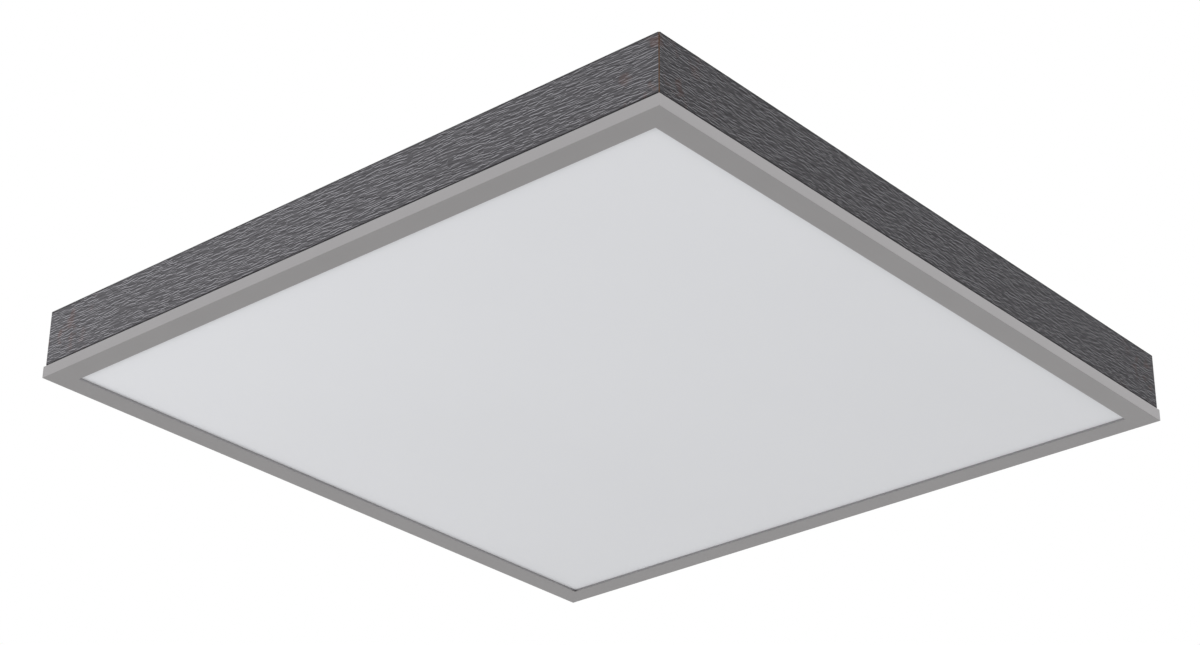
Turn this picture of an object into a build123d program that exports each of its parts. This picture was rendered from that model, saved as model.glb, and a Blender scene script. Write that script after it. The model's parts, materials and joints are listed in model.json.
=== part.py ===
from build123d import *
import os

# A square flush-mount LED ceiling light, in millimetres.
# The frame: +Z is up, and the origin is the centre of the ceiling plane, so the light hangs
# below Z 0.  +X is the right side, -Y the front side.
#
# Two halves make the light.  The surround is a mitred frame of foil-wrapped boards, tied
# together by corner brackets and by two steel rails that screw to the ceiling.  The light
# panel is an edge-lit sandwich in a mitred aluminium trim, with its driver on its back.  Four
# steel tongues on the panel push up into four spring clips under the rails, and hold it there.

# ---------------------------------------------------------------- the light as a whole
panel_size = 595.0         # outside of the silver trim, square
surround_height = 44.2     # dark frame, from the ceiling down
shadow_gap = 1.3           # dark line between the surround and the trim
trim_height = 9.5          # silver edge seen from the side
trim_overhang = 1.0        # the trim stands this far out past the surround

# ---------------------------------------------------------------- surround
foil_thickness = 0.25      # embossed metal-look foil, wrapped round the board
foil_setback = 0.5         # bare board left at each mitre
board_thickness = 12.0
bracket_leg = 32.0         # steel angle in each corner
bracket_height = 28.0
bracket_gauge = 2.0
bracket_drop = 8.0         # its top edge below the ceiling
bracket_holes = ((13.0, 7.0), (24.0, 21.0))   # from the corner, and below the bracket's top
rail_width = 26.0
rail_gauge = 1.5
rail_flange = 22.0         # end of the rail, bent down against the board
rail_bend = 1.2            # inside radius of its bend
rail_screw_offset = 7.5    # either side of the rail's middle
rail_screw_drop = 13.0
slot_length = 25.0         # slots for the ceiling screws
slot_width = 5.5
slot_setback = 40.0        # from the hanger towards the middle of the rail
wood_screw_radius = 1.75
wood_screw_length = 10.0
wood_screw_head_radius = 3.5
wood_screw_head_height = 2.2
seal_width = 2.5           # foam strip between the surround and the panel's back
seal_air = 0.1

# ---------------------------------------------------------------- hangers
hanger_setback_x = 57.5    # from the panel's edge
hanger_setback_y = 97.5
tongue_gauge = 1.5
tongue_width = 20.0
tongue_reach = 33.5        # above the back plate
tongue_foot = 18.0
tongue_nose = 3.0          # chamfer at the tip
clip_gauge = 0.8
clip_width = 16.0
clip_base = 17.0
clip_shoulder = 8.0        # depth at which the jaws turn inwards
clip_waist = 17.0          # depth at which they pinch the tongue
clip_land = 2.0            # upright stretch of the jaws there
clip_mouth = 21.5          # depth of the flared ends
clip_flare = 4.6           # half opening of the flared ends
clip_fit = 0.08            # each jaw's clearance to the tongue
clip_rivet_radius = 1.5
clip_rivet_head_radius = 2.6
clip_rivet_head_height = 1.0
clip_rivet_offset = 4.5

# ---------------------------------------------------------------- light panel
trim_face = 19.0           # silver face seen from below
trim_lip = 2.0             # its thickness, and so the diffuser's recess
trim_wall = 1.3
trim_arris = 0.4           # broken edges of the extrusion
web_wall = 1.2             # wall that carries the light strip
chamber_width = 8.6        # hollow between the outer wall and that wall
chamber_roof = 1.2
stack_air = 0.2            # play round the sheets
diffuser_thickness = 1.5
guide_thickness = 3.0
guide_air = 0.5            # gap that lets the light guide grow
reflector_thickness = 0.3
foam_thickness = 1.6
plate_thickness = 0.6
plate_air = 0.2
plate_corner = 3.0
bead_length = 400.0        # stiffening beads pressed up in the back plate
bead_width = 12.0
bead_crown = 7.0
bead_height = 1.2
bead_rows = (-150.0, -50.0, 160.0)
strip_thickness = 1.2
strip_height = 4.4
strip_setback = 21.5       # its end, from the panel's edge
led_count = 40             # on each of the two strips
led_length = 3.5
led_height = 2.8
led_depth = 0.7
key_arm = 34.0             # corner keys inside the trim's chamber
key_air = 0.1
plate_screw_radius = 1.3
plate_screw_length = 5.5
plate_screw_head_radius = 2.5
plate_screw_head_height = 0.8
plate_screw_corner = 27.5  # outer screws, from the panel's corner
plate_screw_middle = 90.0  # inner screws, from the middle of each side
screw_play = 0.1           # radial room round every screw, rivet and stud

# ---------------------------------------------------------------- studs and nuts
stud_radius = 2.0
stud_reach = 1.0           # past the nut
nut_flats = 7.0
nut_height = 3.2
tongue_stud_spacing = 11.0

# ---------------------------------------------------------------- driver
driver_y = 95.0
driver_length = 170.0
driver_width = 44.0
driver_height = 27.0
driver_wall = 2.0
driver_round = 1.5         # outside corners
terminal_bay = 45.0        # end of the driver that the supply cable goes into
lid_rim_depth = 5.0
lid_rim_wall = 1.5
moulding_fit = 0.15        # between the plastic mouldings
snap_length = 8.0
snap_height = 2.4
snap_bite = 1.0
snap_places = (-10.0, 60.0)
partition_air = 1.0        # below the lid's dividing wall, over the circuit board
ear_length = 16.0
ear_width = 13.0
ear_thickness = 2.5
ear_place = 70.0           # either side of the driver's middle
hinge_radius = 2.5         # terminal cover's barrel
hinge_pin_radius = 1.2
hinge_pin_fit = 0.07
cover_gap = 0.3
cover_tab_length = 3.0
cover_tab_width = 14.0
cover_drop = 8.0           # apron of the cover, down into the cable notch
lid_arris = 0.6
circuit_width = 36.0       # circuit board
circuit_thickness = 1.6
circuit_gap = 0.8          # from its far end to the lead
circuit_post = 2.5         # posts that it lies on
circuit_post_radius = 2.5
circuit_post_inset = 6.0
cable_notch = 9.0          # where the supply cable comes in
cable_diameter = 6.5
cable_sill = 7.0           # height of the notch above the back plate
cable_ridge = 4.0          # rib under the cable, across the clamp
clamp_length = 28.0
clamp_width = 6.0
clamp_thickness = 3.0
clamp_setback = 5.0        # from the driver's end
clamp_post = 6.0
clamp_screw_spacing = 20.0
clamp_screw_radius = 1.3
clamp_screw_head_radius = 2.6
clamp_screw_head_height = 1.8
clamp_screw_length = 7.0

# ---------------------------------------------------------------- driver's electronics
transformer_place = 80.3   # its middle, from the board's near end
transformer_width = 26.0
transformer_height = 15.0
transformer_depth = 20.0
transformer_limb = 5.0
coil_radius = 4.5
bulk_place = 40.3          # bulk capacitor, from the board's near end
bulk_offset = 7.0          # from the driver's middle line
bulk_radius = 6.5
bulk_height = 16.0
output_setback = 24.7      # output capacitor, from the board's far end
output_offset = -6.0
output_radius = 5.0
output_height = 14.0
can_round = 1.0
film_place = 39.3          # film capacitor, from the board's near end
film_offset = -9.5
film_length = 16.0
film_width = 7.0
film_height = 11.0

# ---------------------------------------------------------------- supply terminal
terminal_length = 14.0
terminal_width = 16.0
terminal_height = 13.0
terminal_setback = 27.0    # from the driver's end
pole_spacing = 8.0
wire_mouth = 3.2
wire_depth = 9.0
wire_mouth_height = 4.0    # above the circuit board
button_size = 3.9
button_height = 6.0
button_stand = 1.5         # above the terminal, which is also its travel
button_well = 6.5
button_setback = 9.0       # from the terminal's front
button_slot = 0.8
button_slot_depth = 0.5
terminal_arris = 1.2

# ---------------------------------------------------------------- low-voltage lead
lead_radius = 2.25
lead_offset = 8.0          # from the driver's middle line
boot_length = 12.0
boot_radius = 3.8
connector_start = 33.0     # from the driver's end
plug_length = 28.0
plug_radius = 5.5
socket_length = 30.0
socket_radius = 6.0
pin_radius = 2.7
pin_length = 9.5
pin_air = 0.5              # past the pin's end, in the socket
connector_round = 1.5      # outer ends of the plug and the socket
grip_first = 9.8           # grooves round the plug, from where the two meet
grip_pitch = 5.0
grip_count = 3
grip_width = 1.6
grip_depth = 0.5
connector_lift = 0.2       # above the back plate
lead_turn_share = 0.375    # the lead's two bends, along X from the socket to the cap
lead_bend_share = 0.65
lead_cap_y = 40.0
cap_setback = 19.5         # far side of the cap, from the panel's edge
cap_length = 22.0
cap_width = 18.0
cap_height = 12.0
cap_wall = 1.5
cap_round = 2.0
core_radius = 0.6
core_spacing = 3.0
core_inset = 8.0           # from the cap's near side
foam_slot = 6.0
saddle_length = 9.0
saddle_width = 15.0
saddle_pad = 1.5
saddle_wall = 1.6
saddle_slit = 2.4
saddle_fit = 0.05
saddle_place = 21.0        # first saddle, from the driver's end

# ---------------------------------------------------------------- levels and half widths
total_height = surround_height + shadow_gap + trim_height
panel_half = panel_size / 2
foil_half = panel_half - trim_overhang
board_half = foil_half - foil_thickness
inner_half = board_half - board_thickness

panel_bottom = -total_height
trim_top = panel_bottom + trim_height
sheet_bottom = panel_bottom + trim_lip
guide_bottom = sheet_bottom + diffuser_thickness
guide_top = guide_bottom + guide_thickness
foam_bottom = guide_top + reflector_thickness
plate_bottom = foam_bottom + foam_thickness
plate_top = plate_bottom + plate_thickness

web_outer = panel_half - trim_wall - chamber_width
web_inner = web_outer - web_wall
strip_inner = web_inner - strip_thickness
led_inner = strip_inner - led_depth

hanger_x = panel_half - hanger_setback_x
hanger_y = panel_half - hanger_setback_y
slot_x = hanger_x - slot_setback

driver_left = -driver_length / 2
driver_right = driver_length / 2
driver_front = driver_y - driver_width / 2
driver_back = driver_y + driver_width / 2
driver_top = plate_top + driver_height
driver_floor = plate_top + driver_wall
lid_bottom = driver_top - driver_wall
bay_end = driver_left + terminal_bay
hinge_x = bay_end - cover_gap - hinge_radius
hinge_z = driver_top - hinge_radius
circuit_bottom = driver_floor + circuit_post
circuit_top = circuit_bottom + circuit_thickness
terminal_front = driver_left + terminal_setback
circuit_left = terminal_front - 2 * moulding_fit
circuit_right = driver_right - driver_wall - lid_rim_wall - circuit_gap
clamp_x = driver_left + clamp_setback + clamp_width / 2
clamp_bottom = plate_top + cable_sill + cable_diameter
lead_y = driver_y + lead_offset
lead_z = plate_top + socket_radius + connector_lift
cap_right = panel_half - cap_setback
cap_left = cap_right - cap_length
socket_end = driver_right + connector_start + plug_length + socket_length
lead_turn_x = socket_end + (cap_left - socket_end) * lead_turn_share
lead_bend_x = socket_end + (cap_left - socket_end) * lead_bend_share
core_x = cap_left + core_inset
core_z = (foam_bottom + plate_bottom) / 2

SIDES = {"right": 0, "back": 90, "left": 180, "front": 270}
CORNERS = {"back_right": 0, "back_left": 90, "front_left": 180, "front_right": 270}


# ---------------------------------------------------------------- small helpers
def block(x0, x1, y0, y1, z0, z1):
    """A box between two corners."""
    return Pos((x0 + x1) / 2, (y0 + y1) / 2, (z0 + z1) / 2) * Box(x1 - x0, y1 - y0, z1 - z0)


def post(x, y, z0, z1, radius):
    """An upright round bar."""
    return Pos(x, y, (z0 + z1) / 2) * Cylinder(radius, z1 - z0)


def bar_x(x0, x1, y, z, radius):
    """A round bar along X."""
    return Pos((x0 + x1) / 2, y, z) * Rot(0, 90, 0) * Cylinder(radius, x1 - x0)


def bar_y(x, y0, y1, z, radius):
    """A round bar along Y."""
    return Pos(x, (y0 + y1) / 2, z) * Rot(90, 0, 0) * Cylinder(radius, y1 - y0)


def edges_near(part, axis, **place):
    """The edges along an axis whose middles have the given X, Y or Z."""
    found = part.edges().filter_by(axis)
    for letter, value in place.items():
        found = found.filter_by(lambda e: abs(getattr(e.center(), letter) - value) < 0.01)
    return found


def turned(solid, angle):
    """A copy turned about the light's upright axis."""
    return Rot(0, 0, angle) * solid


def mitre_wedge(half, setback=0.0):
    """The plan of the right-hand side of a square, from its centre out to the two mitres."""
    points = [(setback, 0), (half, half - setback), (half, setback - half)]
    flat = make_face(Polyline(*points, close=True))
    return Pos(0, 0, -total_height) * extrude(flat, total_height)


def bent_strip(points, thickness):
    """A face of even thickness along a bent centre line, mitred at each bend."""
    line = [Vector(*p) for p in points]
    directions = [(b - a).normalized() for a, b in zip(line, line[1:])]
    left, right = [], []
    for i, corner in enumerate(line):
        before = directions[max(i - 1, 0)]
        after = directions[min(i, len(directions) - 1)]
        along = (before + after).normalized()
        out = Vector(-along.Y, along.X)
        half = thickness / 2 / Vector(-after.Y, after.X).dot(out)
        left.append(corner + out * half)
        right.append(corner - out * half)
    outline = [(p.X, p.Y) for p in left + right[::-1]]
    return make_face(Polyline(*outline, close=True))


def screw(radius, length, head_radius, head_height):
    """A screw with its head above Z 0, its shank below and a cross recess."""
    head = Pos(0, 0, head_height / 2) * Cylinder(head_radius, head_height)
    head = fillet(head.edges().group_by(Axis.Z)[-1], head_height * 0.45)
    shank = Pos(0, 0, (radius - length) / 2) * Cylinder(radius, length - radius)
    tip = Pos(0, 0, radius / 2 - length) * Cone(radius * 0.2, radius, radius)
    reach, width = head_radius * 1.1, head_radius * 0.26
    depth = head_height * 0.55
    recess = Pos(0, 0, head_height - depth / 2)
    cross = recess * Box(reach, width, depth) + recess * Box(width, reach, depth)
    return head + shank + tip - cross


def save(name, *solids):
    """Writes one sub-part, as one file of one or more separate solids."""
    flat = [s for item in solids for s in item.solids()]
    whole = flat[0] if len(flat) == 1 else Compound(children=flat)
    export_step(whole, os.path.join("parts", f"{name}.step"))


# ---------------------------------------------------------------- surround
def wood_screw_places(side):
    """Head seats of the screws into one board, for the right-hand side: x, y and z."""
    bracket_face = inner_half - bracket_gauge
    places = [
        (bracket_face, end * (inner_half - away), -bracket_drop - drop)
        for end in (-1, 1)
        for away, drop in bracket_holes
    ]
    if side in ("left", "right"):
        places += [
            (inner_half - rail_gauge, end * hanger_y + offset, -rail_screw_drop)
            for end in (-1, 1)
            for offset in (-rail_screw_offset, rail_screw_offset)
        ]
    return places


def screw_holes(side, depth):
    """Cutters for those screws, each reaching past its head seat by the screw and the depth."""
    return [
        bar_x(x, x + wood_screw_length + depth, y, z, wood_screw_radius + screw_play)
        for x, y, z in wood_screw_places(side)
    ]


def surround_board(side):
    """One mitred board, with pilot holes for its screws."""
    board = block(
        inner_half, board_half, -board_half, board_half,
        foil_thickness - surround_height, -foil_thickness,
    )
    board = board & mitre_wedge(board_half)
    return turned(board - screw_holes(side, screw_play), SIDES[side])


def surround_foil(side):
    """The foil round one board: its outside, its top edge and its bottom edge."""
    sleeve = block(inner_half, foil_half, -foil_half, foil_half, -surround_height, 0)
    core = block(
        inner_half, board_half, -foil_half, foil_half,
        foil_thickness - surround_height, -foil_thickness,
    )
    return turned((sleeve - core) & mitre_wedge(foil_half, foil_setback), SIDES[side])


def corner_bracket(corner):
    """A steel angle, screwed into both boards."""
    top, low = -bracket_drop, -bracket_drop - bracket_height
    near, face = inner_half - bracket_leg, inner_half - bracket_gauge
    angle = block(face, inner_half, near, inner_half, low, top)
    angle += block(near, inner_half, face, inner_half, low, top)
    angle = fillet(edges_near(angle, Axis.Z, X=inner_half, Y=inner_half), bracket_gauge)
    ends = edges_near(angle, Axis.X, Y=near) + edges_near(angle, Axis.Y, X=near)
    angle = fillet(ends, bracket_gauge)
    holes = screw_holes("back", 0)
    holes += [turned(hole, 90) for hole in holes]
    return turned(angle - holes, CORNERS[corner])


def wood_screws():
    """Every screw into the boards, from the brackets and from the rails."""
    one = Rot(0, -90, 0) * screw(
        wood_screw_radius, wood_screw_length, wood_screw_head_radius, wood_screw_head_height
    )
    return [
        turned(Pos(*place) * one, angle)
        for side, angle in SIDES.items()
        for place in wood_screw_places(side)
    ]


def ceiling_rail(y):
    """A steel strip along X, flush with the ceiling, its ends bent down against the boards."""
    front, back = y - rail_width / 2, y + rail_width / 2
    rail = block(-inner_half, inner_half, front, back, -rail_flange, 0)
    hollow = inner_half - rail_gauge
    inside = block(-hollow, hollow, front, back, -rail_flange, -rail_gauge)
    for x in (-hollow, hollow):
        inside = fillet(edges_near(inside, Axis.Y, X=x, Z=-rail_gauge), rail_bend)
    for x in (-inner_half, inner_half):
        rail = fillet(edges_near(rail, Axis.Y, X=x, Z=0), rail_bend + rail_gauge)
    rail -= inside
    for x in (-slot_x, slot_x):
        slot = extrude(SlotOverall(slot_length, slot_width), rail_gauge * 2)
        rail -= Pos(x, y, -rail_gauge * 1.5) * slot
    rail -= [post(x, y, -rail_gauge, 0, clip_rivet_radius + screw_play) for x in rivet_places()]
    holes = [
        bar_x(x - rail_gauge, x + 2 * rail_gauge, hole_y, z, wood_screw_radius + screw_play)
        for x, hole_y, z in wood_screw_places("right")
        if abs(hole_y - y) < rail_width / 2
    ]
    return rail - holes - [turned(Pos(0, -2 * y, 0) * hole, 180) for hole in holes]


def rivet_places():
    """Where the clip rivets stand along a rail."""
    return [
        side * hanger_x + offset
        for side in (-1, 1)
        for offset in (-clip_rivet_offset, clip_rivet_offset)
    ]


def spring_clip(x, y):
    """A bent spring strip under the rail, whose jaws pinch the tongue."""
    half_base = (clip_base - clip_gauge) / 2
    pinch = (tongue_gauge + clip_gauge) / 2 + clip_fit
    jaw = [
        (clip_flare, -clip_mouth), (pinch, -clip_waist - clip_land / 2),
        (pinch, -clip_waist + clip_land / 2),
        (half_base, -clip_shoulder), (half_base, -clip_gauge / 2),
    ]
    profile = bent_strip(jaw + [(-a, b) for a, b in reversed(jaw)], clip_gauge)
    clip = Plane.YZ * extrude(profile, clip_width / 2, both=True)
    clip -= [
        post(offset, 0, -clip_gauge, 0, clip_rivet_radius + screw_play)
        for offset in (-clip_rivet_offset, clip_rivet_offset)
    ]
    return Pos(x, y, -rail_gauge) * clip


def clip_rivets():
    """Rivets that hold the clips, flush with the top of the rails."""
    under = -rail_gauge - clip_gauge
    shank = post(0, 0, under, 0, clip_rivet_radius)
    head = post(0, 0, under - clip_rivet_head_height, under, clip_rivet_head_radius)
    head = fillet(head.edges().group_by(Axis.Z)[0], clip_rivet_head_height * 0.6)
    rivet = shank + head
    return [Pos(x, y, 0) * rivet for y in (-hanger_y, hanger_y) for x in rivet_places()]


def seals():
    """Foam strips under the boards' inner edges, which keep light and dust out of the gap."""
    low, outside = plate_top + seal_air, inner_half + seal_width
    strip = block(inner_half, outside, -outside, outside, low, -surround_height)
    strip = strip & mitre_wedge(outside)
    return [turned(strip, angle) for angle in SIDES.values()]


# ---------------------------------------------------------------- light panel
def plate_screw_places():
    """The screws along the right-hand side of the back plate: their y."""
    outer = panel_half - plate_screw_corner
    return [-outer, -plate_screw_middle, plate_screw_middle, outer]


def plate_screw_holes(depth):
    """Cutters for the back plate's screws, on all four sides."""
    x = (web_outer + panel_half - trim_wall) / 2
    low = plate_top - depth
    radius = plate_screw_radius + screw_play
    return [
        turned(post(x, y, low, plate_top, radius), angle)
        for angle in SIDES.values()
        for y in plate_screw_places()
    ]


def trim_rail(side):
    """One mitred aluminium extrusion: lip, outer wall and a chamber for the corner keys."""
    length = (-panel_half, panel_half)
    wall = block(panel_half - trim_wall, panel_half, *length, panel_bottom, trim_top)
    lip = block(panel_half - trim_face, panel_half, *length, panel_bottom, sheet_bottom)
    web = block(web_inner, web_outer, *length, sheet_bottom, plate_bottom)
    roof = block(
        web_inner, panel_half - trim_wall, *length, plate_bottom - chamber_roof, plate_bottom
    )
    rail = wall + lip + web + roof
    arrises = edges_near(rail, Axis.Y, X=panel_half)
    arrises += edges_near(rail, Axis.Y, X=panel_half - trim_face, Z=panel_bottom)
    rail = fillet(arrises, trim_arris) & mitre_wedge(panel_half)
    x = (web_outer + panel_half - trim_wall) / 2
    holes = [
        post(x, y, plate_bottom - chamber_roof, plate_bottom, plate_screw_radius + screw_play)
        for y in plate_screw_places()
    ]
    return turned(rail - holes, SIDES[side])


def corner_key(corner):
    """An L-shaped key that joins two trim rails inside their chambers."""
    outer = panel_half - trim_wall - key_air
    inner = web_outer + key_air
    end = outer - key_arm
    low, high = sheet_bottom + key_air, plate_bottom - chamber_roof - key_air
    key = block(inner, outer, end, outer, low, high) + block(end, outer, inner, outer, low, high)
    return turned(key, CORNERS[corner]) - plate_screw_holes(plate_screw_length + screw_play)


def sheet(half_x, half_y, low, thickness):
    """One flat sheet of the panel's sandwich."""
    return block(-half_x, half_x, -half_y, half_y, low, low + thickness)


def backing_foam():
    """The foam sheet, with a channel across it for the feed wires."""
    half = strip_inner - stack_air
    foam = sheet(half, half, foam_bottom, foam_thickness)
    low, high = lead_cap_y - foam_slot / 2, lead_cap_y + foam_slot / 2
    return foam - block(-half, half, low, high, foam_bottom, plate_bottom)


def bead(y):
    """A pressed-up stiffening bead: the solid to add, and the hollow to take out below it."""
    def ridge(length, base, crown, low, high):
        foot = Pos(0, y, low) * Rectangle(length, base)
        top = Pos(0, y, high) * Rectangle(length - (base - crown), crown)
        return loft([foot, top])

    high = plate_top + bead_height
    wall = 2 * plate_thickness
    outside = ridge(bead_length, bead_width, bead_crown, plate_top, high)
    hollow = ridge(
        bead_length - wall, bead_width - wall, bead_crown - wall,
        plate_bottom, high - plate_thickness,
    )
    return outside, hollow


def stud_places():
    """Each stud on the back plate: x, y and the thickness that its nut clamps."""
    places = [
        (sx * hanger_x + offset, sy * (hanger_y - tongue_foot / 2 - nut_height / 2), tongue_gauge)
        for sx in (-1, 1)
        for sy in (-1, 1)
        for offset in (-tongue_stud_spacing / 2, tongue_stud_spacing / 2)
    ]
    away = driver_width / 2 + ear_width / 2
    places += [(s * ear_place, driver_y + s * away, ear_thickness) for s in (-1, 1)]
    return places


def back_plate():
    """The sheet-metal back of the panel, with beads, screw holes and a wire hole."""
    half = panel_half - trim_wall - plate_air
    plate = sheet(half, half, plate_bottom, plate_thickness)
    plate = fillet(plate.edges().filter_by(Axis.Z), plate_corner)
    for y in bead_rows:
        outside, hollow = bead(y)
        plate = plate + outside - hollow
    plate -= plate_screw_holes(plate_thickness)
    wires = core_spacing / 2 + core_radius * 2
    return plate - post(core_x, lead_cap_y, plate_bottom, plate_top, wires)


def weld_studs():
    """Studs welded on the back plate, for the tongues and for the driver's ears."""
    studs = []
    for x, y, clamped in stud_places():
        top = plate_top + clamped + nut_height + stud_reach
        stud = post(x, y, plate_top, top, stud_radius)
        studs.append(chamfer(stud.edges().group_by(Axis.Z)[-1], stud_radius * 0.25))
    return studs


def plate_screws():
    """The thin-headed screws round the back plate."""
    one = screw(
        plate_screw_radius, plate_screw_length, plate_screw_head_radius, plate_screw_head_height
    )
    x = (web_outer + panel_half - trim_wall) / 2
    return [
        turned(Pos(x, y, plate_top) * one, angle)
        for angle in SIDES.values()
        for y in plate_screw_places()
    ]


def light_strip(sign):
    """The narrow circuit board that lights one edge of the light guide."""
    half = panel_half - strip_setback
    low = guide_bottom + key_air
    strip = block(strip_inner, web_inner, -half, half, low, low + strip_height)
    return strip if sign > 0 else turned(strip, 180)


def light_chips():
    """The light-emitting chips on both strips, facing the light guide."""
    pitch = 2 * (panel_half - strip_setback) / led_count
    middle = (guide_bottom + guide_top) / 2
    low, high = middle - led_height / 2, middle + led_height / 2
    chips = []
    for i in range(led_count):
        y = (i + 0.5 - led_count / 2) * pitch
        start, end = y - led_length / 2, y + led_length / 2
        chips.append(block(led_inner, strip_inner, start, end, low, high))
        chips.append(block(-strip_inner, -led_inner, start, end, low, high))
    return chips


def hex_nuts():
    """The nuts on all the studs."""
    nut = extrude(RegularPolygon(nut_flats / 2, 6, major_radius=False), nut_height)
    nut = nut & chamfer(
        (Pos(0, 0, nut_height / 2) * Cylinder(nut_flats * 0.57, nut_height)).edges(),
        nut_height * 0.12,
    )
    bore = post(0, 0, 0, nut_height, stud_radius + screw_play)
    return [Pos(x, y, plate_top + clamped) * (nut - bore) for x, y, clamped in stud_places()]


def hanger_tongue(sx, sy):
    """An upright steel blade on a foot that is bolted to the back plate."""
    foot_low = plate_top
    tip = plate_top + tongue_reach
    half = tongue_gauge / 2
    blade = block(-tongue_width / 2, tongue_width / 2, -half, half, foot_low, tip)
    corners = edges_near(blade, Axis.Y, X=-tongue_width / 2, Z=tip)
    corners += edges_near(blade, Axis.Y, X=tongue_width / 2, Z=tip)
    blade = chamfer(corners, tongue_nose)
    foot = block(
        -tongue_width / 2, tongue_width / 2, half - tongue_foot, half,
        foot_low, foot_low + tongue_gauge,
    )
    bracket = blade + foot
    bracket = fillet(edges_near(bracket, Axis.X, Y=half, Z=foot_low), tongue_gauge)
    inner = edges_near(bracket, Axis.X, Y=-half, Z=foot_low + tongue_gauge)
    bracket = fillet(inner, tongue_gauge / 2)
    ends = edges_near(bracket, Axis.Z, Y=half - tongue_foot)
    bracket = fillet(ends, tongue_gauge * 2)
    if sy < 0:
        bracket = mirror(bracket, Plane.XZ)
    holes = [
        post(x, y, plate_top, plate_top + tongue_gauge, stud_radius + screw_play)
        for x, y, clamped in stud_places()
    ]
    return Pos(sx * hanger_x, sy * hanger_y, 0) * bracket - holes


# ---------------------------------------------------------------- driver
def driver_base():
    """The driver's lower moulding: a tray with ears, board posts and a cable entry."""
    wall = driver_wall
    case = block(driver_left, driver_right, driver_front, driver_back, plate_top, driver_top)
    case = fillet(case.edges().filter_by(Axis.Z), driver_round)
    inside = (driver_front + wall, driver_back - wall)
    case -= block(driver_left + wall, driver_right - wall, *inside, driver_floor, driver_top)
    case -= block(bay_end, driver_right, driver_front, driver_back, lid_bottom, driver_top)
    case -= block(driver_left, bay_end, *inside, lid_bottom - cover_gap, driver_top)
    sill = plate_top + cable_sill
    notch = (driver_y - cable_notch / 2, driver_y + cable_notch / 2)
    case -= block(driver_left, driver_left + wall, *notch, sill, driver_top)
    holes = bar_y(hinge_x, driver_front, driver_back, hinge_z, hinge_pin_radius + hinge_pin_fit)
    case -= holes
    for x in snap_places:
        window = (x - snap_length / 2, x + snap_length / 2)
        low = lid_bottom - lid_rim_depth
        case -= block(*window, driver_front, driver_back, low, low + snap_height)
    case -= bar_x(
        driver_right - wall, driver_right, lead_y, lead_z, lead_radius + screw_play
    )
    aside = circuit_width / 2 - circuit_post_inset
    for x in (circuit_left + circuit_post_inset, circuit_right - circuit_post_inset):
        for y in (driver_y - aside, driver_y + aside):
            case += post(x, y, driver_floor, circuit_bottom, circuit_post_radius)
    for end in (-1, 1):
        y = driver_y + end * clamp_screw_spacing / 2
        half = clamp_post / 2
        pillar = block(
            clamp_x - half, clamp_x + half, y - half, y + half, driver_floor, clamp_bottom
        )
        case += pillar
        depth = clamp_bottom - clamp_screw_length + clamp_thickness - screw_play
        case -= post(clamp_x, y, depth, clamp_bottom, clamp_screw_radius + screw_play)
    half = cable_ridge / 2
    case += block(clamp_x - half, clamp_x + half, *notch, driver_floor, sill)
    for end in (-1, 1):
        edge = driver_y + end * driver_width / 2
        low_y, high_y = sorted((edge, edge + end * ear_width))
        ear = block(
            end * ear_place - ear_length / 2, end * ear_place + ear_length / 2,
            low_y, high_y, plate_top, plate_top + ear_thickness,
        )
        far = edges_near(ear, Axis.Z, Y=edge + end * ear_width)
        case += fillet(far, ear_length / 4)
        hole_y = edge + end * ear_width / 2
        top = plate_top + ear_thickness
        case -= post(end * ear_place, hole_y, plate_top, top, stud_radius + screw_play)
    return case


def driver_lid():
    """The driver's snap-on lid, with a rim inside the tray and a wall beside the terminal."""
    lid = block(bay_end, driver_right, driver_front, driver_back, lid_bottom, driver_top)
    right_corners = edges_near(lid, Axis.Z, X=driver_right)
    lid = fillet(right_corners, driver_round)
    lid = chamfer(lid.faces().sort_by(Axis.Z)[-1].edges(), lid_arris)
    fit = driver_wall + moulding_fit
    front, back, right = driver_front + fit, driver_back - fit, driver_right - fit
    low = lid_bottom - lid_rim_depth
    rim = block(bay_end, right, front, back, low, lid_bottom)
    inner = lid_rim_wall
    rim -= block(bay_end + inner, right - inner, front + inner, back - inner, low, lid_bottom)
    lid += rim
    bottom = circuit_top + partition_air
    lid += block(bay_end, bay_end + driver_wall, front, back, bottom, lid_bottom)
    for x in snap_places:
        hook = (x - snap_length / 2 + moulding_fit, x + snap_length / 2 - moulding_fit)
        heights = (low, low + snap_height - 2 * moulding_fit)
        lid += block(*hook, front - snap_bite, front, *heights)
        lid += block(*hook, back, back + snap_bite, *heights)
    relief = bar_x(right - inner, right, lead_y, lead_z, lead_radius + screw_play)
    return lid - relief


def terminal_cover():
    """The flap over the supply terminal, with its hinge barrel and two pins."""
    fit = driver_wall + cover_gap
    front, back = driver_front + fit, driver_back - fit
    flap = block(driver_left, hinge_x, front, back, lid_bottom, driver_top)
    tab = (driver_y - cover_tab_width / 2, driver_y + cover_tab_width / 2)
    flap += block(driver_left - cover_tab_length, driver_left, *tab, lid_bottom, driver_top)
    outer = edges_near(flap, Axis.Z, X=driver_left - cover_tab_length)
    flap = fillet(outer, cover_tab_length * 0.6)
    apron = cable_notch / 2 - cover_gap
    flap += block(
        driver_left, driver_left + driver_wall, driver_y - apron, driver_y + apron,
        lid_bottom - cover_drop, lid_bottom,
    )
    flap += bar_y(hinge_x, front, back, hinge_z, hinge_radius)
    pin = driver_wall * 0.9 + cover_gap
    return flap + bar_y(hinge_x, front - pin, back + pin, hinge_z, hinge_pin_radius)


def driver_board():
    """The driver's circuit board."""
    front, back = driver_y - circuit_width / 2, driver_y + circuit_width / 2
    return block(circuit_left, circuit_right, front, back, circuit_bottom, circuit_top)


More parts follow.
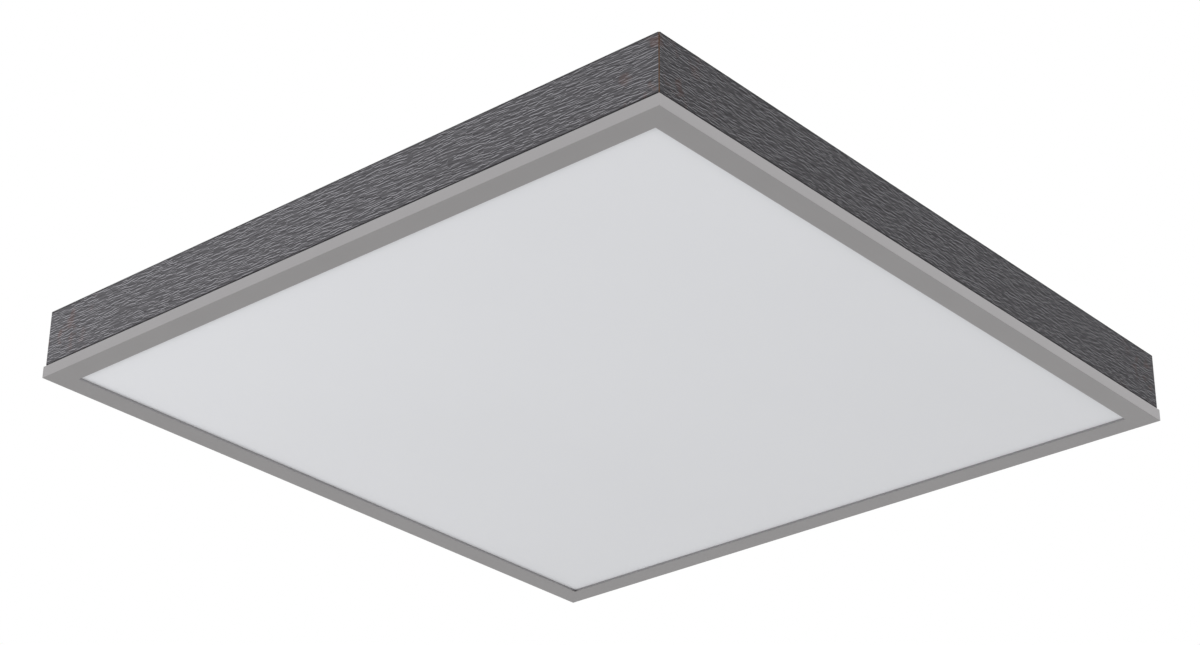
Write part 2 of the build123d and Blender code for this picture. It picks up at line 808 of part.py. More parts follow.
def driver_transformer():
    """A ferrite core with its winding."""
    x = circuit_left + transformer_place
    outer = transformer_width / 2
    front, back = driver_y - transformer_depth / 2, driver_y + transformer_depth / 2
    top = circuit_top + transformer_height
    core = block(x - outer, x + outer, front, back, circuit_top, top)
    inner = outer - transformer_limb
    core -= block(x - inner, x + inner, front, back, circuit_top, top - transformer_limb)
    return core, bar_y(x, front, back, circuit_top + coil_radius, coil_radius)


def driver_capacitors():
    """The bulk and output capacitors, and a film capacitor."""
    cans = [
        (circuit_left + bulk_place, bulk_offset, bulk_height, bulk_radius),
        (circuit_right - output_setback, output_offset, output_height, output_radius),
    ]
    solids = []
    for x, offset, height, radius in cans:
        can = post(x, driver_y + offset, circuit_top, circuit_top + height, radius)
        solids.append(fillet(can.edges().group_by(Axis.Z)[-1], can_round))
    x, y = circuit_left + film_place, driver_y + film_offset
    solids.append(block(
        x - film_length / 2, x + film_length / 2, y - film_width / 2, y + film_width / 2,
        circuit_top, circuit_top + film_height,
    ))
    return solids


def pole_places():
    """The middle line of each pole of the supply terminal."""
    return [driver_y - pole_spacing / 2, driver_y + pole_spacing / 2]


def supply_terminal():
    """The push-in terminal block: wire mouths in front, button wells on top."""
    front, back = driver_y - terminal_width / 2, driver_y + terminal_width / 2
    end, top = terminal_front + terminal_length, circuit_top + terminal_height
    body = block(terminal_front, end, front, back, circuit_top, top)
    body = chamfer(edges_near(body, Axis.Y, X=terminal_front, Z=top), terminal_arris)
    well = button_size / 2 + moulding_fit
    x = terminal_front + button_setback
    mouth = wire_mouth / 2
    z = circuit_top + wire_mouth_height
    for y in pole_places():
        body -= block(x - well, x + well, y - well, y + well, top - button_well, top)
        reach = terminal_front + wire_depth
        body -= block(terminal_front, reach, y - mouth, y + mouth, z - mouth, z + mouth)
    return body


def release_button(y):
    """A square push button with a slot for a screwdriver's blade."""
    x, half = terminal_front + button_setback, button_size / 2
    top = circuit_top + terminal_height + button_stand
    button = block(x - half, x + half, y - half, y + half, top - button_height, top)
    low, groove = top - button_slot_depth, button_slot / 2
    return button - block(x - groove, x + groove, y - half, y + half, low, top)


def cable_clamp():
    """The bar that holds the supply cable down on its ridge."""
    half = clamp_length / 2
    high = clamp_bottom + clamp_thickness
    bar = block(
        clamp_x - clamp_width / 2, clamp_x + clamp_width / 2,
        driver_y - half, driver_y + half, clamp_bottom, high,
    )
    bar = fillet(bar.edges().filter_by(Axis.Z), clamp_width / 3)
    holes = [
        post(clamp_x, driver_y + s * clamp_screw_spacing / 2, clamp_bottom, high,
             clamp_screw_radius + screw_play)
        for s in (-1, 1)
    ]
    return bar - holes


def clamp_screws():
    """The two screws of that bar."""
    one = screw(
        clamp_screw_radius, clamp_screw_length, clamp_screw_head_radius, clamp_screw_head_height
    )
    z = clamp_bottom + clamp_thickness
    return [Pos(clamp_x, driver_y + s * clamp_screw_spacing / 2, z) * one for s in (-1, 1)]


# ---------------------------------------------------------------- low-voltage lead
def lead_to_connector():
    """The driver's own lead, with the boot that is moulded on it."""
    inner = driver_right - driver_wall - lid_rim_wall
    start = driver_right + connector_start
    lead = bar_x(inner, start, lead_y, lead_z, lead_radius)
    boot = Pos(driver_right + boot_length / 2, lead_y, lead_z) * Rot(0, 90, 0)
    return lead + boot * Cone(boot_radius, lead_radius * 1.15, boot_length)


def lead_to_panel():
    """The panel's lead, in two bends from the connector to the entry cap."""
    points = [
        (socket_end, lead_y), (lead_turn_x, lead_y),
        (lead_bend_x, lead_cap_y), (cap_left + 2 * cap_wall, lead_cap_y),
    ]
    runs = [Vector(*b) - Vector(*a) for a, b in zip(points, points[1:])]
    radii = []
    for before, after in zip(runs, runs[1:]):
        turn = before.get_angle(after)
        shorter = min(before.length, after.length)
        radii.append(0.45 * shorter / tan_half(turn))
    print("lead bends, radius in mm:", [round(r, 1) for r in radii])
    path = Pos(0, 0, lead_z) * FilletPolyline(*points, radius=radii)
    section = Plane(path @ 0, z_dir=path % 0) * Circle(lead_radius)
    lead = sweep(section, path)
    share = lead.volume / (section.area * path.length)
    print("lead length in mm:", round(path.length, 1), "volume over section times length:", share)
    return lead


def tan_half(degrees):
    """The tangent of half an angle."""
    unit = Vector(1, 0).rotate(Axis.Z, degrees / 2)
    return unit.Y / unit.X


def connector():
    """The in-line plug, with its pin, and the socket that it is pushed into."""
    meet = driver_right + connector_start + plug_length
    plug = bar_x(meet - plug_length, meet, lead_y, lead_z, plug_radius)
    plug = fillet(plug.edges().group_by(Axis.X)[0], connector_round)
    for i in range(grip_count):
        x = meet - grip_first - grip_pitch * i
        start, end = x - grip_width / 2, x + grip_width / 2
        ring = bar_x(start, end, lead_y, lead_z, plug_radius)
        plug -= ring - bar_x(start, end, lead_y, lead_z, plug_radius - grip_depth)
    plug += bar_x(meet, meet + pin_length, lead_y, lead_z, pin_radius)
    socket = bar_x(meet, meet + socket_length, lead_y, lead_z, socket_radius)
    socket = fillet(socket.edges().group_by(Axis.X)[-1], connector_round)
    bore = bar_x(meet, meet + pin_length + pin_air, lead_y, lead_z, pin_radius + screw_play)
    return plug, socket - bore


def lead_saddle(x, y, angle):
    """A stick-on saddle that holds the lead at the connector's height."""
    reach = lead_radius + saddle_wall
    half = saddle_length / 2
    wide, pad_top = saddle_width / 2, plate_top + saddle_pad
    pad = block(-half, half, -wide, wide, plate_top, pad_top)
    body = block(-half, half, -reach, reach, plate_top, lead_z)
    body += bar_x(-half, half, 0, lead_z, reach)
    slit = block(-half, half, -saddle_slit / 2, saddle_slit / 2, lead_z, lead_z + 2 * reach)
    hole = bar_x(-half, half, 0, lead_z, lead_radius + saddle_fit)
    return Pos(x, y, 0) * Rot(0, 0, angle) * (pad + body - slit - hole)


def lead_saddles():
    """One saddle beside the driver, and one on the slanting run."""
    run = Vector(lead_bend_x - lead_turn_x, lead_cap_y - lead_y)
    angle = -run.get_angle(Vector(1, 0))
    middle = ((lead_bend_x + lead_turn_x) / 2, (lead_cap_y + lead_y) / 2)
    return [
        lead_saddle(driver_right + saddle_place, lead_y, 0),
        lead_saddle(*middle, angle),
    ]


def entry_cap():
    """The cap over the hole where the lead's cores go into the panel."""
    half = cap_width / 2
    front, back = lead_cap_y - half, lead_cap_y + half
    cap = block(cap_left, cap_right, front, back, plate_top, plate_top + cap_height)
    cap = fillet(cap.edges().filter_by(Axis.Z) + cap.edges().group_by(Axis.Z)[-1], cap_round)
    cap -= block(
        cap_left + cap_wall, cap_right - cap_wall, front + cap_wall, back - cap_wall,
        plate_top, plate_top + cap_height - cap_wall,
    )
    return cap - bar_x(cap_left, cap_left + cap_wall, lead_cap_y, lead_z, lead_radius + saddle_fit)


def feed_wires():
    """The two cores, down from the lead and across the foam to both light strips."""
    wires = []
    for side in (-1, 1):
        y = lead_cap_y + side * core_spacing / 2
        wire = bar_x(-strip_inner, strip_inner, y, core_z, core_radius)
        wire += post(core_x, y, core_z, lead_z, core_radius)
        wire += bar_x(cap_left + 2 * cap_wall, core_x, y, lead_z, core_radius)
        wire += Pos(core_x, y, lead_z) * Sphere(core_radius)
        wires.append(wire)
    return wires


# ---------------------------------------------------------------- write every sub-part
def write_surround():
    for side in SIDES:
        save(f"board_{side}", surround_board(side))
        save(f"foil_{side}", surround_foil(side))
    for corner in CORNERS:
        save(f"corner_bracket_{corner}", corner_bracket(corner))
    save("wood_screws", *wood_screws())
    for name, y in (("front", -hanger_y), ("back", hanger_y)):
        save(f"ceiling_rail_{name}", ceiling_rail(y))
        for end, x in (("left", -hanger_x), ("right", hanger_x)):
            save(f"spring_clip_{name}_{end}", spring_clip(x, y))
    save("clip_rivets", *clip_rivets())
    save("seals", *seals())


def write_panel():
    for side in SIDES:
        save(f"trim_{side}", trim_rail(side))
    save("corner_keys", *[corner_key(corner) for corner in CORNERS])
    across = web_inner - stack_air
    save("diffuser", sheet(across, across, sheet_bottom, diffuser_thickness))
    guide_x, guide_y = led_inner - guide_air, web_inner - guide_air
    save("light_guide", sheet(guide_x, guide_y, guide_bottom, guide_thickness))
    mirror_x = strip_inner - stack_air
    save("reflector", sheet(mirror_x, guide_y, guide_top, reflector_thickness))
    save("backing_foam", backing_foam())
    save("back_plate", back_plate())
    save("weld_studs", *weld_studs())
    save("plate_screws", *plate_screws())
    save("light_strip_left", light_strip(-1))
    save("light_strip_right", light_strip(1))
    save("light_chips", *light_chips())
    for name, sy in (("front", -1), ("back", 1)):
        for end, sx in (("left", -1), ("right", 1)):
            save(f"hanger_tongue_{name}_{end}", hanger_tongue(sx, sy))
    save("hex_nuts", *hex_nuts())


def write_driver():
    save("driver_base", driver_base())
    save("driver_lid", driver_lid())
    save("terminal_cover", terminal_cover())
    save("driver_board", driver_board())
    save("driver_transformer", *driver_transformer())
    save("driver_capacitors", *driver_capacitors())
    save("supply_terminal", supply_terminal())
    for name, y in zip(("neutral", "live"), pole_places()):
        save(f"release_button_{name}", release_button(y))
    save("cable_clamp", cable_clamp())
    save("clamp_screws", *clamp_screws())
    save("lead_driver", lead_to_connector())
    save("lead_panel", lead_to_panel())
    plug, socket = connector()
    save("lead_plug", plug)
    save("lead_socket", socket)
    save("lead_saddles", *lead_saddles())
    save("entry_cap", entry_cap())
    save("feed_wires", *feed_wires())


os.makedirs("parts", exist_ok=True)
write_surround()
write_panel()
write_driver()
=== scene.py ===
# %% [markdown]
# # A square ceiling light, seen from below
#
# The real object is a boxed frame of dark foil-wrapped boards against the ceiling, with a thin
# edge-lit panel pushed up into it: a silver mitred trim round an opal sheet.  On the panel's
# back, hidden from the room, are its driver, a lead and the steel tongues that hold it up.
#
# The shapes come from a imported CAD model, which is loaded here and stays where it is.  This
# lesson gives them their finishes, replaces the small repeated pieces by finer ones, and sets
# up the light and the camera.  We could also move or remodel the big pieces here, but then the
# picture and the engineering model would drift apart.

# %% Load the model
import bpy
import json
import math
from mathutils import Matrix, Vector


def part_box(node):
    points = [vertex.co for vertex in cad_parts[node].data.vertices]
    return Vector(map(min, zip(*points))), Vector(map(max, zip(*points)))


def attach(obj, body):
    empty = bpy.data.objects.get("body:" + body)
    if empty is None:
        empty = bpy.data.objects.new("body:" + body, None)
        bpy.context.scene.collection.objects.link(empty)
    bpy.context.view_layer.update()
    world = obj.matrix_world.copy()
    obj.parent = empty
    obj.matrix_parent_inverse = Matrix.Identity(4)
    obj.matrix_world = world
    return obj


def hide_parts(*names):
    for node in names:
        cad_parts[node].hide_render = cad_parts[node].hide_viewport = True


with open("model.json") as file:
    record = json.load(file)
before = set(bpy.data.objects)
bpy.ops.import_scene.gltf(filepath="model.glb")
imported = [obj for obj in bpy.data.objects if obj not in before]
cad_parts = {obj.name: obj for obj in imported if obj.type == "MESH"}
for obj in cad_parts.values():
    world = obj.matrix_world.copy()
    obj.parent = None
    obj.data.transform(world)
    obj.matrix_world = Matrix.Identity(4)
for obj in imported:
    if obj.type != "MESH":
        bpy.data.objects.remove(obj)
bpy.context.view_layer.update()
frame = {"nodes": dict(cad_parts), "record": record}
nodes = frame["nodes"]
print("pieces from the model:", len(nodes))

# %% [markdown]
# ## Colours and node helpers
#
# Colours are easiest to read as the 0 to 255 numbers of a picture, but shaders want linear
# light, so one function converts them.  Building node trees by hand takes many lines.  A small
# wrapper keeps them short: it adds a node, fills in its inputs and links whatever is a socket.
# The nodes that come up again and again have a short name of their own.

# %% Colours and node helpers
MM = 0.001
FLOAT, VECTOR = "NodeSocketFloat", "NodeSocketVector"


def srgb(*values):
    """A picture colour from 0 to 255 as linear light, with its alpha."""
    linear = [
        v / 255 / 12.92 if v / 255 <= 0.04045 else ((v / 255 + 0.055) / 1.055) ** 2.4
        for v in values
    ]
    return (*linear, 1.0)


class Tree:
    """A node tree, to which nodes are added with their inputs filled in."""

    def __init__(self, tree):
        self.tree = tree

    def feed(self, socket, value):
        """Links a socket to another one, or gives it a steady value.  None leaves it alone."""
        if isinstance(value, bpy.types.NodeSocket):
            self.tree.links.new(value, socket)
        elif value is not None:
            socket.default_value = value

    def add(self, kind, *inputs, named=None, **settings):
        """Adds a node.  Inputs go in by place, or by name or number in the dictionary."""
        node = self.tree.nodes.new(kind)
        for key, value in settings.items():
            setattr(node, key, value)
        for key, value in [*enumerate(inputs), *(named or {}).items()]:
            self.feed(node.inputs[key], value)
        return node

    def math(self, operation, a, b=None, c=None):
        """One operation on one, two or three values."""
        return self.add("ShaderNodeMath", a, b, c, operation=operation).outputs[0]

    def clamp(self, value, low, high):
        """Keeps a value between two others."""
        return self.math("MINIMUM", self.math("MAXIMUM", value, low), high)

    def spread(self, value, low, high, to_low=0.0, to_high=1.0):
        """Maps a range of a value smoothly onto another range."""
        node = self.add(
            "ShaderNodeMapRange", value, low, high, to_low, to_high,
            interpolation_type="SMOOTHSTEP",
        )
        return node.outputs[0]

    def vector(self, x=None, y=None, z=None):
        """Three values as one vector.  Whatever is left out is nought."""
        return self.add("ShaderNodeCombineXYZ", x, y, z).outputs[0]

    def dot(self, place, direction):
        """How far a place reaches along a direction."""
        node = self.add("ShaderNodeVectorMath", place, direction, operation="DOT_PRODUCT")
        return node.outputs["Value"]

    def place(self):
        """The shaded point in the object's own coordinates."""
        return self.add("ShaderNodeTexCoord").outputs["Object"]

    def noise(self, place, scale, detail):
        """A cloudy value from 0 to 1."""
        named = {"Vector": place, "Scale": scale, "Detail": detail}
        return self.add("ShaderNodeTexNoise", named=named).outputs[0]

    def cells(self, place, scale, randomness=None, **settings):
        """The outputs of a cell pattern."""
        named = {"Vector": place, "Scale": scale, "Randomness": randomness}
        return self.add("ShaderNodeTexVoronoi", named=named, **settings).outputs

    def mix(self, share, a, b):
        """Mixes two colours, which are inputs 6 and 7 of the Mix node."""
        named = {0: share, 6: a, 7: b}
        return self.add("ShaderNodeMix", named=named, data_type="RGBA").outputs[2]


def new_group(name, inputs, outputs):
    """A shader node group with named values.  Returns its tree, its inputs and its outputs."""
    group = bpy.data.node_groups.new(name, "ShaderNodeTree")
    for title, kind, value in inputs:
        socket = group.interface.new_socket(name=title, in_out="INPUT", socket_type=kind)
        socket.default_value = value
    for title in outputs:
        group.interface.new_socket(name=title, in_out="OUTPUT", socket_type=FLOAT)
    tree = Tree(group)
    return tree, tree.add("NodeGroupInput").outputs, tree.add("NodeGroupOutput").inputs


print("mid grey as linear light:", round(srgb(128)[0], 3))

# %% [markdown]
# ## An effect for strokes: embossed foil, drawn metal
#
# The dark foil is embossed with fine dashes that run nearly along each board.  The aluminium
# trim has far finer lines along its length, and the steel has faint rolling marks.  All of them
# are one idea: a pattern that is stretched a lot in one direction.  A cell pattern gives crisp
# slivers, each with its own random shade.  The group takes the shade of a sliver less that of
# the next one above, so that where the foil takes it as colour, each dash gets a painted lit
# side and a painted shaded side, as light falls on an emboss.  That mixes light and dark
# strokes evenly, while random shades alone would gather in clouds.  Noise gives soft streaks
# besides, half as wide as the strokes.  A picture texture could show all this too, but it
# would blur close up.

# %% The strokes group
STREAKS_PER_STROKE = 2.0

tree, given, result = new_group(
    "strokes",
    [("Along", VECTOR, (1, 0, 0)), ("Across", VECTOR, (0, 1, 0)), ("Length", FLOAT, 0.01),
     ("Width", FLOAT, 0.001), ("Slant", FLOAT, 0.0)],
    ["Strokes", "Soft"],
)
place = tree.place()
along, across = tree.dot(place, given["Along"]), tree.dot(place, given["Across"])
upright = tree.add("ShaderNodeSeparateXYZ", place).outputs["Z"]
height = tree.math("MULTIPLY_ADD", along, given["Slant"], tree.math("ADD", upright, across))
column = tree.math("DIVIDE", along, given["Length"])
row = tree.math("DIVIDE", height, given["Width"])
shades = []
for step in (0.0, 1.0):
    point = tree.vector(column, tree.math("ADD", row, step))
    cells = tree.cells(point, 1.0, voronoi_dimensions="2D")
    shades.append(tree.add("ShaderNodeSeparateColor", cells["Color"]).outputs[0])
tree.feed(result["Strokes"], tree.math("SUBTRACT", *shades))
point = tree.vector(column, tree.math("MULTIPLY", row, STREAKS_PER_STROKE))
tree.feed(result["Soft"], tree.noise(point, 1.0, 1.0))
strokes_group = tree.tree
print("strokes group:", [s.name for s in strokes_group.interface.items_tree])

# %% [markdown]
# ## An effect for grain: moulded plastic, powder coat, foam
#
# Moulded plastic has a fine even grain, powder coat a softer orange peel, and an opal sheet a
# very fine one.  One noise at the right size makes each of them, and a second, much larger one
# gives the slow change of tone that keeps a surface from looking painted by a computer.

# %% The grain group
tree, given, result = new_group(
    "grain", [("Size", FLOAT, 0.0005), ("Patch", FLOAT, 0.05)], ["Grain", "Patches"]
)
place = tree.place()
for title, source, detail in (("Grain", "Size", 3.0), ("Patches", "Patch", 2.0)):
    scale = tree.math("DIVIDE", 1.0, given[source])
    tree.feed(result[title], tree.noise(place, scale, detail))
grain_group = tree.tree
print("grain group:", [s.name for s in grain_group.interface.items_tree])

# %% [markdown]
# ## Finishes made from those effects
#
# Each material keeps its own Principled shader, and the groups only feed it masks.  Steady
# numbers, such as the sheen of a plastic, sit directly on the shader.  The functions below
# make the two families: stroked finishes for sheet and foil, grained ones for mouldings.  We
# could copy one material and change its colour, but then each would need its numbers found
# again in the node editor.

# %% Finishes made from those effects
NOISE_RANGE = (0.3, 0.7)    # holds nearly all of a noise's values
DRAWN_PATCH = 45            # mm
DRAWN_RELIEF = 0.01         # mm


def new_material(name, metallic=0.0, **steady):
    """An empty material with its Principled shader, whose steady numbers are set by name."""
    material = bpy.data.materials.new(name)
    material.use_nodes = True
    tree = Tree(material.node_tree)
    shader = material.node_tree.nodes["Principled BSDF"]
    shader.inputs["Metallic"].default_value = metallic
    for key, value in steady.items():
        shader.inputs[key.replace("_", " ")].default_value = value
    return material, tree, shader.inputs


def use(tree, group, **values):
    """Places a group in a material with its own values."""
    node = tree.add("ShaderNodeGroup", node_tree=group)
    for key, value in values.items():
        node.inputs[key].default_value = value
    return node.outputs


def use_strokes(tree, along, length, width, slant=0.0):
    """Places the strokes group with its lines along a level direction.  Sizes are in mm."""
    across = (along[1], -along[0], 0)
    return use(
        tree, strokes_group, Along=along, Across=across, Length=length * MM, Width=width * MM,
        Slant=slant,
    )


def relief(tree, shader, height, distance, strength=1.0):
    """Feeds a height through a Bump node to the shader's normal."""
    bump = tree.add(
        "ShaderNodeBump", named={"Strength": strength, "Distance": distance, "Height": height}
    )
    tree.feed(shader["Normal"], bump.outputs[0])


def two_tones(tree, mask, colour, shade):
    """A colour that goes from a little darker to a little lighter with a mask."""
    dark = [c * (1 - shade) for c in colour[:3]] + [1]
    light = [min(1, c * (1 + shade)) for c in colour[:3]] + [1]
    return tree.mix(tree.spread(mask, *NOISE_RANGE), dark, light)


def grained(name, colour, size, patch=60, rough=(0.4, 0.55), depth=0.04, shade=0.06):
    """A moulded or coated finish: slow patches, and a fine grain in relief.  Sizes are in mm."""
    material, tree, shader = new_material(name)
    marks = use(tree, grain_group, Size=size * MM, Patch=patch * MM)
    tree.feed(shader["Base Color"], two_tones(tree, marks["Patches"], colour, shade))
    tree.feed(shader["Roughness"], tree.spread(marks["Grain"], *NOISE_RANGE, *rough))
    relief(tree, shader, marks["Grain"], depth * MM)
    return material


def drawn(name, colour, along, length, width, rough, shade):
    """A metal with fine lines along it: drawn, rolled or brushed.  Sizes are in mm."""
    material, tree, shader = new_material(name, metallic=1.0)
    marks = use_strokes(tree, along, length, width)
    patches = use(tree, grain_group, Patch=DRAWN_PATCH * MM)
    streaks = two_tones(tree, marks["Soft"], colour, shade)
    clouds = two_tones(tree, patches["Patches"], colour, shade)
    tree.feed(shader["Base Color"], tree.mix(0.5, streaks, clouds))
    tree.feed(shader["Roughness"], tree.spread(marks["Strokes"], -0.8, 0.8, *rough))
    relief(tree, shader, marks["Soft"], DRAWN_RELIEF * MM, 0.5)
    return material


print("finish families: grained, drawn")

# %% [markdown]
# ## The dark foil
#
# Seen close, the boards are a warm-grey metal look: a dark ground crossed by short light and
# dark dashes, each well under a millimetre thin and a few long.  They slope a little, as if
# the sheet had been cut slightly off square, and walking round the frame they always slope the
# same way.  The stroke pattern gives both kinds: above nought it turns the ground lighter,
# below nought darker, which is the foil's own print with painted light and shade of its emboss.
# The top and bottom millimetre of each board is darkened with painted shade along those edges,
# and near the corners the foil has a faint brown cast in places.  All four boards need those
# two masks, so they are a group as well.

# %% The dark foil
WALK = {"front": (1, 0, 0), "right": (0, 1, 0), "back": (-1, 0, 0), "left": (0, -1, 0)}
# Length and width in mm, then the share of light and of dark in the strongest dashes.
LONG_DASHES, SHORT_DASHES = (5.5, 0.66, 0.74, 0.8), (4, 0.65, 0.8, 0.85)
FOIL_DASHES = {
    "front": SHORT_DASHES, "right": LONG_DASHES, "back": SHORT_DASHES, "left": LONG_DASHES,
}
DASH_SLANT = 0.03
FULLY_DARK, FULLY_LIGHT = -0.8, 0.75
FOIL_GLOSS = 0.08
FOIL_ROUGH = (0.6, 0.45)    # of the ground, and of the lightest dashes
FOIL_RELIEF = 0.05 * MM
FOIL_GROUND = srgb(90, 89, 92)
FOIL_DARK = srgb(49, 48, 51)
FOIL_LIGHT = srgb(171, 170, 175)
FOIL_BROWN = srgb(112, 76, 64)
FOIL_HEIGHT = 44.2 * MM
# Painted shade along the top and bottom edges: where each darkening begins and where it is full.
TOP_EDGE_SHADE = (-1.7 * MM, -0.6 * MM)
LOW_EDGE_SHADE = (1.1 * MM - FOIL_HEIGHT, 0.4 * MM - FOIL_HEIGHT)
EDGE_SHADE_SHARE = 0.7
BROWN_FROM, BROWN_TO = 225 * MM, 290 * MM
BROWN_PATCH, BROWN_SHARE = 14 * MM, 0.25
BROWN_SPOTS = (0.55, 0.66)    # where in the patch noise a spot begins and is full

tree, given, result = new_group("board_borders", [("Along", VECTOR, (1, 0, 0))], ["End", "PaintedEdgeShade"])
place = tree.place()
reach = tree.math("ABSOLUTE", tree.dot(place, given["Along"]))
tree.feed(result["End"], tree.spread(reach, BROWN_FROM, BROWN_TO))
height = tree.add("ShaderNodeSeparateXYZ", place).outputs["Z"]
edge_shades = tree.spread(height, *TOP_EDGE_SHADE), tree.spread(height, *LOW_EDGE_SHADE)
tree.feed(result["PaintedEdgeShade"], tree.math("MAXIMUM", *edge_shades))
borders_group = tree.tree


def foil_finish(side):
    """The embossed foil on one side, whose dashes follow that board."""
    material, tree, shader = new_material("decor_foil_" + side, Specular_IOR_Level=FOIL_GLOSS)
    length, width, light, dark = FOIL_DASHES[side]
    marks = use_strokes(tree, WALK[side], length, width, DASH_SLANT)
    # The foil's own dashes with painted light and shade of the emboss: lighter above nought,
    # darker below.
    dark_dashes_and_painted_shade = tree.spread(marks["Strokes"], 0.0, FULLY_DARK, 0.0, dark)
    light_dashes_and_painted_light = tree.spread(marks["Strokes"], 0.0, FULLY_LIGHT, 0.0, light)
    tone = tree.mix(dark_dashes_and_painted_shade, FOIL_GROUND, FOIL_DARK)
    tone = tree.mix(light_dashes_and_painted_light, tone, FOIL_LIGHT)
    borders = use(tree, borders_group, Along=WALK[side])
    patches = use(tree, grain_group, Patch=BROWN_PATCH)
    spots = tree.spread(patches["Patches"], *BROWN_SPOTS, 0.0, BROWN_SHARE)
    tone = tree.mix(tree.math("MULTIPLY", borders["End"], spots), tone, FOIL_BROWN)
    # Painted shade: the top and bottom edges are darkened towards the foil's dark colour.
    tone = tree.mix(tree.math("MULTIPLY", borders["PaintedEdgeShade"], EDGE_SHADE_SHARE), tone, FOIL_DARK)
    tree.feed(shader["Base Color"], tone)
    tree.feed(shader["Roughness"], tree.spread(marks["Strokes"], 0.0, 0.9, *FOIL_ROUGH))
    relief(tree, shader, marks["Soft"], FOIL_RELIEF, 0.5)
    return material


foils = {side: foil_finish(side) for side in WALK}
print("foil finishes:", sorted(foils))

# %% [markdown]
# ## The silver trim
#
# The trim is satin anodised aluminium: an extrusion, so its faint lines run along each side.
# Metal shows what stands around it, so its own colour is only half of the story, and the
# pale room does the rest.  One material for all four sides would be simpler, but on two of
# them its lines would run across the rail.

# %% The silver trim
TRIM_SILVER = srgb(167, 165, 166)
trims = {
    side: drawn("trim_aluminium_" + side, TRIM_SILVER, WALK[side], length=60, width=0.2,
                rough=(0.36, 0.44), shade=0.02)
    for side in WALK
}
print("trim finishes:", sorted(trims))

# %% [markdown]
# ## The board, bare at the mitres
#
# Medium-density board is a felt of brown fibres.  Only hairlines of it show, where the foil
# stops short of each mitre, and its inside face shows from above.  It gets a mottled brown with
# short fibres in every direction, from two sizes of grain.

# %% The board
BOARD_BROWN = srgb(146, 110, 82)
BOARD_LIGHT = srgb(158, 124, 96)
BOARD_DARK = srgb(122, 88, 66)

board, tree, shader = new_material("board", Roughness=0.85)
felt = use(tree, grain_group, Size=0.7 * MM, Patch=25 * MM)
tone = tree.mix(tree.spread(felt["Patches"], 0.35, 0.65), BOARD_BROWN, BOARD_LIGHT)
tone = tree.mix(tree.spread(felt["Grain"], 0.45, 0.3), tone, BOARD_DARK)
tree.feed(shader["Base Color"], tone)
relief(tree, shader, felt["Grain"], 0.12 * MM)
print("board finish made")

# %% [markdown]
# ## The opal sheet
#
# The diffuser is the big pale surface of the light.  Real opal acrylic is even and satin, so
# all it gets is the faintest cloud of tone, a fine grain, and a soft gloss.  It is not lit: the
# light is switched off.

# %% The opal sheet
opal = grained(
    "opal", srgb(224, 225, 229), size=0.35, patch=260, rough=(0.42, 0.5), depth=0.004, shade=0.006,
)
print("opal finish made")

# %% [markdown]
# ## Steel, plastics and the rest of the inside
#
# Zinc-plated steel is a pale metal with cloudy patches.  The spring strips are darker.  The
# back plate has a white powder coat, the driver and its saddles are white plastic, the
# connector black, and the buttons orange.  They differ only in numbers, so two tables hold
# them all.

# %% Steel, plastics and the rest of the inside
METALS = {
    "zinc_steel": dict(colour=srgb(196, 198, 200), length=25, width=0.5,
                       rough=(0.3, 0.5), shade=0.1),
    "spring_steel": dict(colour=srgb(120, 124, 134), length=12, width=0.3,
                         rough=(0.28, 0.4), shade=0.1),
    "fasteners": dict(colour=srgb(205, 204, 198), length=2, width=0.4,
                      rough=(0.25, 0.4), shade=0.08),
    "key_alloy": dict(colour=srgb(170, 170, 168), length=4, width=1.5,
                      rough=(0.4, 0.55), shade=0.1),
}
MOULDINGS = {
    "seal_foam": dict(colour=srgb(34, 34, 35), size=0.7, rough=(0.85, 0.95), depth=0.12),
    "back_steel": dict(colour=srgb(222, 222, 219), size=1.6, patch=180, rough=(0.4, 0.5),
                       depth=0.05, shade=0.02),
    "driver_white": dict(colour=srgb(213, 214, 211), size=0.45, patch=50, rough=(0.45, 0.58),
                         depth=0.03, shade=0.02),
    "terminal_grey": dict(colour=srgb(165, 168, 171), size=0.4, patch=12),
    "button_orange": dict(colour=srgb(226, 112, 32), size=0.4, patch=6),
    "connector_black": dict(colour=srgb(38, 38, 40), size=0.4, patch=20, rough=(0.45, 0.6)),
    "lead_sheath": dict(colour=srgb(218, 218, 214), size=0.8, patch=18, rough=(0.45, 0.55)),
    "core_red": dict(colour=srgb(176, 46, 40), size=0.5, patch=10, rough=(0.35, 0.5)),
    "foam": dict(colour=srgb(232, 233, 234), size=1.2, patch=40, rough=(0.85, 0.95), depth=0.2),
    "reflector_film": dict(colour=srgb(243, 243, 243), size=0.5, patch=90, rough=(0.35, 0.45),
                           depth=0.005, shade=0.01),
    "strip_mask": dict(colour=srgb(232, 233, 229), size=0.6, patch=15, rough=(0.3, 0.4),
                       depth=0.01),
    "ferrite": dict(colour=srgb(58, 57, 56), size=0.5, patch=9, rough=(0.5, 0.7)),
    "capacitor": dict(colour=srgb(46, 54, 84), size=0.6, patch=9, rough=(0.2, 0.3), depth=0.01),
}
finishes = {name: drawn(name, along=(1, 0, 0), **look) for name, look in METALS.items()}
finishes |= {name: grained(name, **look) for name, look in MOULDINGS.items()}
finishes |= {"opal": opal, "board": board}
print("plain finishes:", len(finishes))

# %% [markdown]
# ## The circuit board and the clear sheet
#
# Two finishes need more than a grain.  Under its green mask the circuit board has paler copper
# tracks, drawn here as bands of a cell pattern.  The light guide is clear acrylic with a fine
# grid of printed dots that throw the light downwards, which is what makes a flat panel glow.

# %% The circuit board and the clear sheet
TRACKS_PER_METRE, DOTS_PER_METRE = 260.0, 450.0

